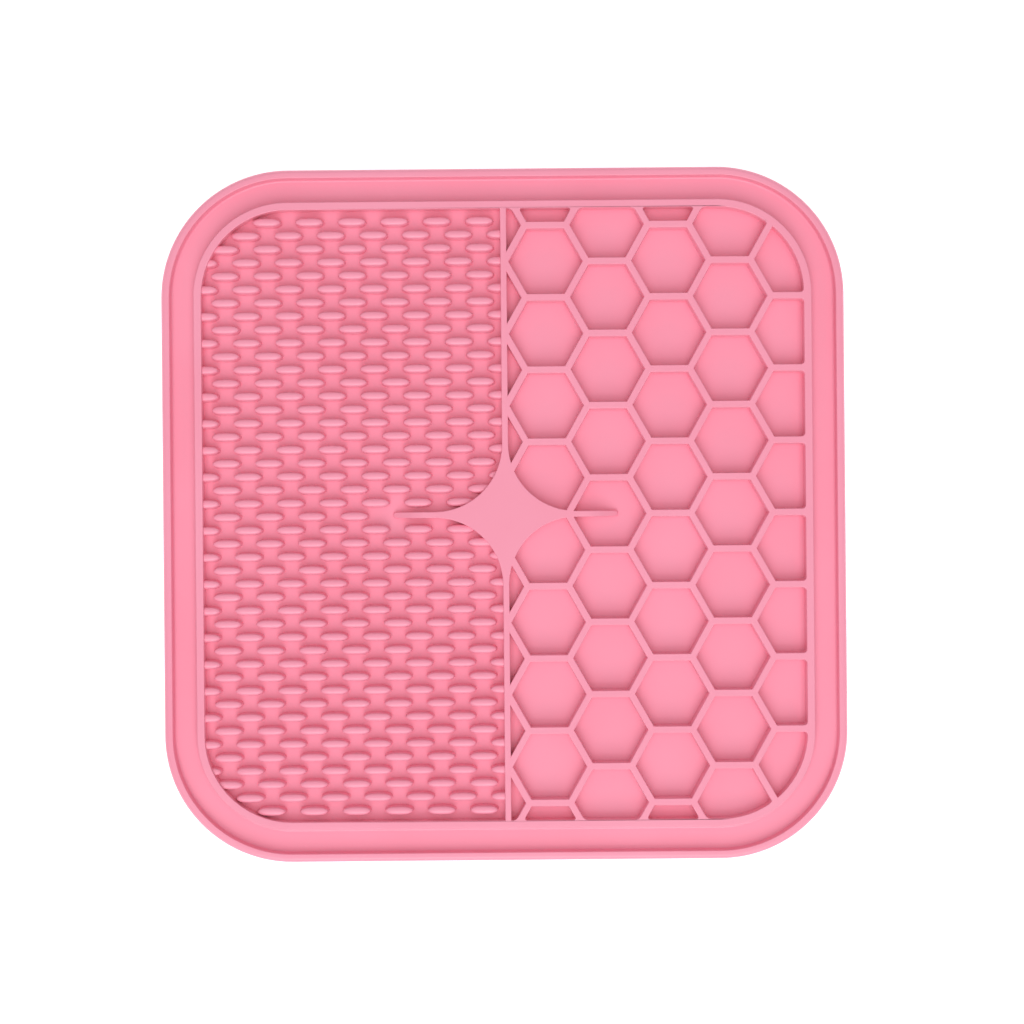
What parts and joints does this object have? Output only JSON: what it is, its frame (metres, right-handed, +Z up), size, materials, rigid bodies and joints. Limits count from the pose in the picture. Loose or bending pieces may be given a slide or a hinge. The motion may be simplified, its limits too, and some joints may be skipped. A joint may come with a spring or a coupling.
{
  "type": "lick mat",
  "caption": "Square silicone lick mat with rounded corners: a lip, a gutter and a walled tray, half oval nubs and half honeycomb cells round a star, on moulded suction cups.",
  "frame": {"origin": "on the table under the middle of the mat, in the plane of the suction cups' lips", "axes": "+Z up, +Y to the back edge (top of the picture), +X to the honeycomb half"},
  "size_m": [0.2, 0.2028, 0.01],
  "materials": {
    "silicone": "matte"
  },
  "bodies": {
    "root": {"base_sheet": "silicone", "outer_rim": "silicone", "tray_wall": "silicone", "back_divider": "silicone", "front_divider": "silicone", "centre_star": "silicone", "left_star_arm": "silicone", "right_star_arm": "silicone", "honeycomb_ribs": "silicone", "nub_panel": "silicone", "suction_cup_01": "silicone", "suction_cup_02": "silicone", "suction_cup_03": "silicone", "suction_cup_04": "silicone", "suction_cup_05": "silicone", "suction_cup_06": "silicone", "suction_cup_07": "silicone", "suction_cup_08": "silicone", "suction_cup_09": "silicone", "suction_cup_10": "silicone", "suction_cup_11": "silicone", "suction_cup_12": "silicone", "suction_cup_13": "silicone", "suction_cup_14": "silicone", "suction_cup_15": "silicone", "suction_cup_16": "silicone"}
  },
  "joints": []
}
